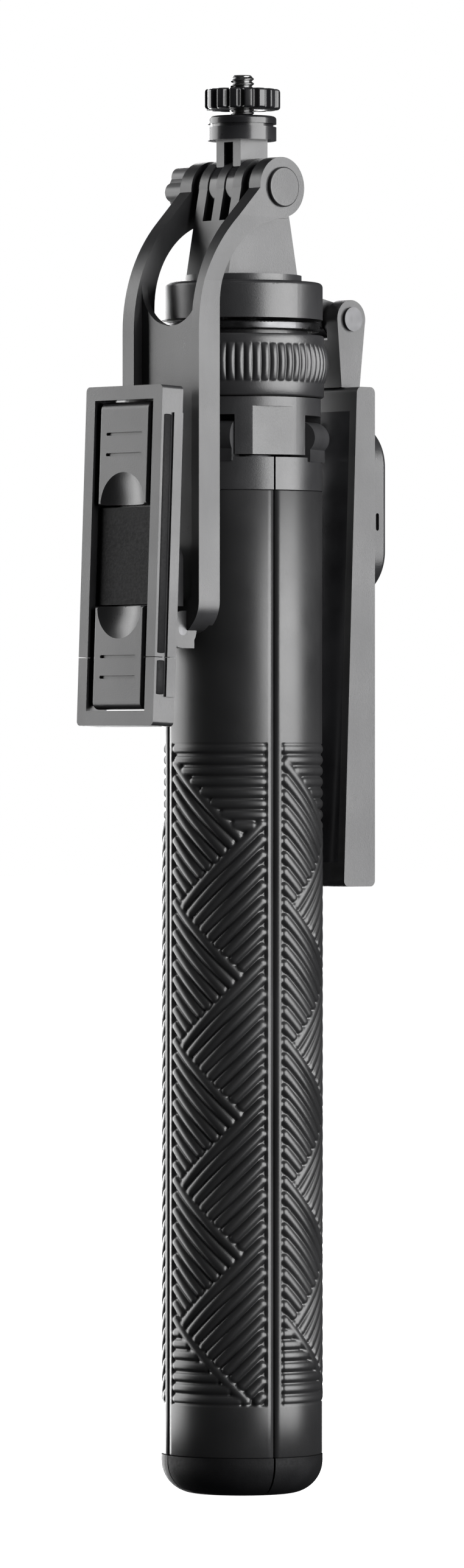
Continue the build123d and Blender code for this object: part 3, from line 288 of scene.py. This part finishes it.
def circuit(name):
    """Green solder mask with paler tracks."""
    material, nodes, links, shader, coord = new_material(name)
    brick = nodes.new("ShaderNodeTexBrick")
    brick.inputs["Scale"].default_value = 260
    brick.inputs["Color1"].default_value = (0.02, 0.14, 0.05, 1)
    brick.inputs["Color2"].default_value = (0.03, 0.18, 0.07, 1)
    brick.inputs["Mortar"].default_value = (0.06, 0.28, 0.12, 1)
    links.new(coord.outputs["Object"], brick.inputs["Vector"])
    links.new(brick.outputs["Color"], shader.inputs["Base Color"])
    shader.inputs["Roughness"].default_value = 0.35
    add_bump(nodes, links, shader, brick.outputs["Fac"], 0.00005, 0.4)
    return material


MATERIALS = {
    "charcoal_plastic": moulded("charcoal_plastic", (0.017, 0.017, 0.018), 0.34),
    "grey_plastic": moulded("grey_plastic", (0.12, 0.12, 0.122), 0.36),
    "grip_plastic": moulded("grip_plastic", (0.012, 0.012, 0.0125), 0.37, grain=0.15),
    "foot_rubber": rubbery("foot_rubber", (0.006, 0.006, 0.0065)),
    "pole_aluminium": metal("pole_aluminium", (0.06, 0.06, 0.063), 0.34, (1, 1, 0.06), 500, 0.1),
    "pin_steel": metal("pin_steel", (0.07, 0.07, 0.072), 0.34, (0.06, 1, 1), 500, 0.1),
    "screw_steel": metal("screw_steel", (0.22, 0.22, 0.22), 0.28, (1, 1, 1), 400, 0.06),
    "black_metal": lacquered("black_metal", (0.010, 0.010, 0.011), 0.20),
    "trim_metal": metal("trim_metal", (0.07, 0.07, 0.072), 0.30, (1, 1, 3), 300, 0.06),
    "diffuser_plastic": shade_darkened_window("diffuser_plastic"),
    "board_green": circuit("board_green"),
    "cell_metal": metal("cell_metal", (0.55, 0.55, 0.56), 0.35),
}
SLOT_OF = {row["node"]: row["material_slot"] for row in frame["record"]["subparts"]}


def dress_cad_nodes():
    """Each CAD node gets the finish of its slot in the record."""
    for name, node in NODES.items():
        for slot in node.material_slots:
            slot.link = "OBJECT"
            slot.material = MATERIALS[SLOT_OF[name]]


def soften(name, width):
    """Breaks a CAD node's sharp edges by this many millimetres."""
    bevel = NODES[name].modifiers.new("broken_edges", "BEVEL")
    bevel.width = width * MM
    bevel.segments = 2
    bevel.limit_method = "ANGLE"
    bevel.angle_limit = math.radians(40)
    bevel.harden_normals = True


# --- meshes ----------------------------------------------------------------------------------------------
def make_piece(name, points, faces, body, finish, stands_for=()):
    """A mesh piece in millimetres that rides on a body and may stand for CAD nodes."""
    mesh = bpy.data.meshes.new(name)
    mesh.from_pydata([tuple(p) for p in np.asarray(points) * MM], [], faces)
    mesh.validate()
    for polygon in mesh.polygons:
        polygon.use_smooth = True
    mesh.materials.append(MATERIALS[finish])
    piece = bpy.data.objects.new(name, mesh)
    bpy.context.scene.collection.objects.link(piece)
    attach(piece, body)
    if stands_for:
        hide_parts(*stands_for)


def lathe_grid(radii, angles, heights, closed_ring):
    """Points of a surface r(angle, height), row by row, and the quads between them."""
    rows, columns = radii.shape
    x, y = radii * np.cos(angles)[None, :], radii * np.sin(angles)[None, :]
    z = np.repeat(heights[:, None], columns, 1)
    points = np.stack([x, y, z], axis=2).reshape(-1, 3)
    faces = []
    last = columns if closed_ring else columns - 1
    for row in range(rows - 1):
        low, high = row * columns, (row + 1) * columns
        for column in range(last):
            right = (column + 1) % columns
            faces.append((low + column, low + right, high + right, high + column))
    return points, faces


# --- the ribbed legs -------------------------------------------------------------------------------------
HANDLE_R, LEG_INNER_R = 21.0, 18.2
LEG_BOTTOM, LEG_TOP, LEG_FLOOR = 10.1, 260.4, 18.0
LEG_HALF_ANGLE = math.radians(44.3)
PANEL_HALF = 14.45
PANEL_LOW, PANEL_HIGH = 23.6, 194.8
RIB_SLOPE = 0.94
RIB_STEP, BAND_STEP = 4.0, 36.0
FIRST_DOWN, FIRST_UP = 189.5, 173.9
RIB_RADIUS = 1.42
STRIP_R, GROOVE_R, CREST_R = 20.85, 20.0, 21.05
LEVEL_STEP = 2.85


def braid_ribs():
    """The centre lines of one leg's ribs, on the unrolled panel: (x0, z0, x1, z1) with x from its middle."""
    edge = PANEL_HALF - RIB_RADIUS
    ribs = []
    per_band = round(BAND_STEP / RIB_STEP)
    bands = 4
    for band in range(bands):
        down, up = FIRST_DOWN - BAND_STEP * band, FIRST_UP - BAND_STEP * band
        for rib in range(per_band):
            left_z = down - RIB_STEP * rib
            meet = (left_z - up) / (2 * RIB_SLOPE) - 1.6
            ribs.append((-edge, left_z, max(meet, -edge + 0.5), left_z - RIB_SLOPE * (meet + edge)))
            right_z = up - RIB_STEP * rib
            meet = (down - BAND_STEP - right_z) / (2 * RIB_SLOPE) + 1.6
            ribs.append((edge, right_z, min(meet, edge - 0.5), right_z - RIB_SLOPE * (edge - meet)))
    last_down, last_up = FIRST_DOWN - BAND_STEP * bands, FIRST_UP - BAND_STEP * bands
    floor = PANEL_LOW + RIB_RADIUS
    ribs.append((-edge, last_down, (last_down - floor) / RIB_SLOPE - edge, floor))
    while last_up > floor:
        meet = (last_down - last_up) / (2 * RIB_SLOPE) + 1.6
        ribs.append((edge, last_up, meet, last_up - RIB_SLOPE * (edge - meet)))
        last_up -= RIB_STEP
    level = PANEL_HIGH - RIB_RADIUS
    while True:
        start = -edge if level > FIRST_DOWN + 1.2 else (FIRST_DOWN - level) / RIB_SLOPE - edge + 2.0
        end = edge if level > FIRST_UP + 1.2 else edge - (FIRST_UP - level) / RIB_SLOPE - 2.0
        if start > end:
            break
        ribs.append((start, level, end, level))
        level -= LEVEL_STEP
    level = PANEL_LOW + RIB_RADIUS
    while level < last_down - 1:
        end = (last_down - level) / RIB_SLOPE - edge - 2.0
        if end > -edge + 1:
            ribs.append((-edge, level, min(end, edge), level))
        level += LEVEL_STEP
    return ribs


def rib_height(x, z, ribs):
    """0 in a groove and 1 on a crest, over a grid of unrolled points."""
    height = np.zeros_like(x)
    for x0, z0, x1, z1 in ribs:
        reach = RIB_RADIUS
        near = (z[:, 0] > min(z0, z1) - reach) & (z[:, 0] < max(z0, z1) + reach)
        if not near.any():
            continue
        px, pz = x[near] - x0, z[near] - z0
        dx, dz = x1 - x0, z1 - z0
        along = np.clip((px * dx + pz * dz) / (dx * dx + dz * dz), 0, 1)
        away = np.hypot(px - along * dx, pz - along * dz) / reach
        height[near] = np.maximum(height[near], np.sqrt(np.clip(1 - away**2, 0, 1)))
    return height


def leg_grid():
    """Outer radii of a leg over arc positions and heights."""
    cell = 0.34
    half = LEG_HALF_ANGLE * HANDLE_R
    middle = np.linspace(-PANEL_HALF - 0.4, PANEL_HALF + 0.4, int(2 * PANEL_HALF / cell))
    arcs = np.concatenate([[-half], middle, [half]])
    fine = np.linspace(PANEL_LOW - 0.4, PANEL_HIGH + 0.4, int((PANEL_HIGH - PANEL_LOW) / cell))
    heights = np.concatenate([[LEG_BOTTOM, LEG_BOTTOM + 0.35], fine, [LEG_TOP - 0.35, LEG_TOP]])
    x, z = np.meshgrid(arcs, heights)
    inside = (np.abs(x) <= PANEL_HALF) & (z >= PANEL_LOW) & (z <= PANEL_HIGH)
    radii = np.where(inside, GROOVE_R + (CREST_R - GROOVE_R) * rib_height(x, z, braid_ribs()), STRIP_R)
    radii[0] -= 0.3
    radii[-1] -= 0.3
    radii[:, 0] -= 0.25
    radii[:, -1] -= 0.25
    return radii, arcs / HANDLE_R, heights


def solid_sector(points, faces, angle, half_angle, low_r, high_r, low, high, steps=8):
    """Adds a closed block between two radii, angles and heights."""
    start = len(points)
    for height in (low, high):
        for radius in (low_r, high_r):
            for step in range(steps + 1):
                turn = angle + half_angle * (2 * step / steps - 1)
                points.append((radius * math.cos(turn), radius * math.sin(turn), height))
    n = steps + 1
    inner_low, outer_low, inner_high, outer_high = (start + n * k for k in range(4))
    for step in range(steps):
        faces.append((outer_low + step, outer_low + step + 1, outer_high + step + 1, outer_high + step))
        faces.append((inner_low + step + 1, inner_low + step, inner_high + step, inner_high + step + 1))
        faces.append((inner_low + step, inner_low + step + 1, outer_low + step + 1, outer_low + step))
        faces.append((inner_high + step + 1, inner_high + step, outer_high + step, outer_high + step + 1))
    for end, flip in ((0, False), (steps, True)):
        face = (inner_low + end, outer_low + end, outer_high + end, inner_high + end)
        faces.append(face[::-1] if flip else face)


def add_ribbed_leg(number, angle, grid):
    """A leg's outer shell with its moulded braid, its inner wall and its floor."""
    radii, turns, heights = grid
    rows, columns = radii.shape
    points, faces = lathe_grid(radii, turns + angle, heights, closed_ring=False)
    points = [tuple(p) for p in points]
    inner = len(points)
    for height in (heights[0], heights[-1]):
        for turn in turns + angle:
            points.append((LEG_INNER_R * math.cos(turn), LEG_INNER_R * math.sin(turn), height))
    top, inner_top = (rows - 1) * columns, inner + columns
    for column in range(columns - 1):
        faces.append((inner + column + 1, inner + column, inner_top + column, inner_top + column + 1))
        faces.append((column + 1, column, inner + column, inner + column + 1))
        faces.append((top + column, top + column + 1, inner_top + column + 1, inner_top + column))
    left = [row * columns for row in range(rows)]
    faces.append(tuple(left + [inner + columns, inner]))
    right = [row * columns + columns - 1 for row in range(rows)]
    faces.append(tuple(right[::-1] + [inner + columns - 1, inner + 2 * columns - 1]))
    solid_sector(points, faces, angle, LEG_HALF_ANGLE, 1.2, LEG_INNER_R - 0.02, LEG_BOTTOM, LEG_FLOOR)
    name, body, shell = f"ribbed_leg_{number}", f"leg_{number}", f"leg_shell_{number}"
    make_piece(name, points, faces, body, "grip_plastic", stands_for=[shell])


def add_legs():
    grid = leg_grid()
    for number, angle in enumerate(LEG_ANGLES, start=1):
        add_ribbed_leg(number, angle, grid)


# --- the knurled collar ----------------------------------------------------------------------------------
def add_twist_collar():
    """The barrel-shaped grip ring with upright ribs between two smooth bands."""
    low, high = 284.7, 300.8
    grip_low, grip_high = 288.4, 298.3
    edge_r, bulge = 21.35, 1.25
    ribs = 60
    per_rib = 12
    angles = np.linspace(0, 2 * math.pi, ribs * per_rib, endpoint=False)
    lower = [low, low + 0.4, grip_low - 0.4, grip_low]
    upper = [grip_high, grip_high + 0.4, high - 0.4, high]
    heights = np.array(lower + list(np.linspace(grip_low + 0.25, grip_high - 0.25, 30)) + upper)
    along = np.clip((heights - grip_low) / (grip_high - grip_low), 0, 1)
    barrel = edge_r + bulge * np.sin(math.pi * along) ** 0.7
    wave = np.abs(np.sin(angles * ribs / 2))
    inside = ((along > 0) & (along < 1)).astype(float)
    fade = inside * np.sin(math.pi * np.clip(along, 0, 1)) ** 0.35
    radii = barrel[:, None] - 0.62 * fade[:, None] * (1 - wave[None, :] ** 0.8)
    radii[0] -= 0.35
    radii[-1] -= 0.35
    points, faces = lathe_grid(radii, angles, heights, closed_ring=True)
    points = [tuple(p) for p in points]
    count, rows = len(angles), len(heights)
    inner = len(points)
    bore = 17.3
    for height in (heights[0], heights[-1]):
        for angle in angles:
            points.append((bore * math.cos(angle), bore * math.sin(angle), height))
    top = (rows - 1) * count
    for column in range(count):
        right = (column + 1) % count
        faces.append((right, column, inner + column, inner + right))
        faces.append((inner + right, inner + column, inner + count + column, inner + count + right))
        faces.append((top + column, top + right, inner + count + right, inner + count + column))
    finish = "charcoal_plastic"
    make_piece("knurled_collar", points, faces, "twist_collar", finish, stands_for=["twist_collar"])


# --- the camera screw and lock disc ----------------------------------------------------------------------
def capped_lathe(radii, angles, heights):
    """A closed solid of revolution-like shape with flat ends."""
    points, faces = lathe_grid(radii, angles, heights, closed_ring=True)
    points = [tuple(p) for p in points]
    count, rows = len(angles), len(heights)
    faces.append(tuple(range(count))[::-1])
    faces.append(tuple((rows - 1) * count + column for column in range(count)))
    return points, faces


def add_camera_screw():
    """A quarter-inch screw, twenty threads to the inch, with a lead-in chamfer."""
    bottom, tip, radius, pitch, depth = 354.5, 368.7, 3.175, 1.27, 0.62
    angles = np.linspace(0, 2 * math.pi, 48, endpoint=False)
    heights = np.linspace(bottom, tip, 130)
    phase = (heights[:, None] / pitch - angles[None, :] / (2 * math.pi)) % 1
    thread = np.abs(2 * phase - 1)
    radii = radius - depth * np.clip(1.25 * thread - 0.12, 0, 1)
    chamfer = np.clip((tip - heights) / 0.9, 0, 1)[:, None]
    radii = np.minimum(radii, 2.35 + (radius - 2.35) * chamfer)
    points, faces = capped_lathe(radii, angles, heights)
    make_piece("threaded_screw", points, faces, "adapter", "screw_steel", stands_for=["camera_screw"])


def add_lock_disc():
    """The round lock nut with finger scallops and rounded rims."""
    bottom, top, radius, bore = 359.8, 365.0, 10.0, 3.255
    scallops = 16
    angles = np.linspace(0, 2 * math.pi, scallops * 18, endpoint=False)
    rim = 0.7
    bend = np.linspace(0, math.pi / 2, 6)
    edge = radius - rim + rim * np.sin(bend)
    outer = list(zip(edge, bottom + rim - rim * np.cos(bend)))
    outer += list(zip(edge[::-1], top - rim + rim * np.cos(bend[::-1])))
    profile = [(bore, bottom), (7.2, bottom)] + outer + [(7.2, top), (6.8, top - 0.35), (bore, top - 0.35)]
    wave = np.clip(np.cos(angles * scallops), -0.2, 1)
    dent = 0.85 * np.clip(wave + 0.2, 0, 2) ** 1.2
    points, faces = [], []
    count = len(angles)
    for r, z in profile:
        share = np.clip((r - 7.3) / (radius - 7.3), 0, 1)
        ring = r - dent * share
        points += [(a * math.cos(t), a * math.sin(t), z) for a, t in zip(ring, angles)]
    rows = len(profile)
    for row in range(rows):
        low, high = row * count, (row + 1) % rows * count
        for column in range(count):
            right = (column + 1) % count
            faces.append((low + column, low + right, high + right, high + column))
    make_piece("scalloped_disc", points, faces, "lock_disc", "black_metal", stands_for=["lock_disc"])


# --- painted shade: black strips for the shaded grooves along the clamp's sides --------------------------
CLAMP_FOOT, CLAMP_LEAN = (-36.2, 236.5), math.radians(2.29)
BAND_IN, BAND_OUT = 14.2, 14.75
BAND_BACK, BAND_FRONT = 3.6, 6.6


def leaning_point(across, forward, up):
    """A point of the leaning clamp, from its middle line on the back face."""
    y = CLAMP_FOOT[0] - forward * math.cos(CLAMP_LEAN) + up * math.sin(CLAMP_LEAN)
    z = CLAMP_FOOT[1] + forward * math.sin(CLAMP_LEAN) + up * math.cos(CLAMP_LEAN)
    return (across, y, z)


def add_shade_strip(name, side, low, high, body):
    """A black strip with a crowned face on one side of the clamp: painted shade standing for the shade in the
    groove there.
    """
    crown = [(BAND_BACK, 0), (BAND_BACK + 0.25, 0.75), (BAND_BACK + 0.9, 0.95)]
    crown.append(((BAND_BACK + BAND_FRONT) / 2, 1.0))
    crown += [(BAND_BACK + BAND_FRONT - forward, share) for forward, share in crown[2::-1]]
    points, faces = [], []
    for up, shrink in ((low, 1), (low + 0.4, 0), (high - 0.4, 0), (high, 1)):
        for forward, share in crown:
            rise = (BAND_OUT - BAND_IN) * share * (0.4 if shrink else 1)
            points.append(leaning_point(side * (BAND_IN + rise), forward, up))
    width = len(crown)
    for row in range(3):
        first, following = row * width, (row + 1) * width
        for step in range(width - 1):
            face = (first + step, first + step + 1, following + step + 1, following + step)
            faces.append(face if side < 0 else face[::-1])
        back = (first + width - 1, first, following, following + width - 1)
        faces.append(back if side < 0 else back[::-1])
    for end, flip in ((0, side < 0), (3, side > 0)):
        face = tuple(end * width + step for step in range(width))
        faces.append(face[::-1] if flip else face)
    # painted shade: the black rubber finish stands for the shade in a groove, not for a rubber insert
    make_piece(name, points, faces, body, "foot_rubber")


def add_clamp_bands():
    for side, hand in ((-1, "left"), (1, "right")):
        add_shade_strip(f"clamp_shade_strip_{hand}", side, -19.0, 42.6, "clamp")
        add_shade_strip(f"carriage_shade_strip_{hand}", side, -29.6, -20.6, "carriage")


add_camera()
light_the_studio()
dress_cad_nodes()
add_clamp_bands()
add_legs()
add_twist_collar()
add_camera_screw()
add_lock_disc()

EDGE_WIDTHS = {
    "yoke": 0.5, "clamp_frame": 0.5, "clamp_carriage": 0.5, "upper_jaw": 0.4, "lower_jaw": 0.4,
    "neck": 0.5, "panel_shell": 0.4, "panel_arm": 0.5, "adapter": 0.3, "leg_hub": 0.4,
    "head_collar": 0.3, "tilt_plate": 0.3, "hinge_knob": 0.3, "remote_body": 0.3, "clamp_pad": 0.4,
    "leg_cap_1": 0.3, "leg_cap_2": 0.3, "leg_cap_3": 0.3, "leg_cap_4": 0.3,
}
for node_name, edge_width in EDGE_WIDTHS.items():
    soften(node_name, edge_width)
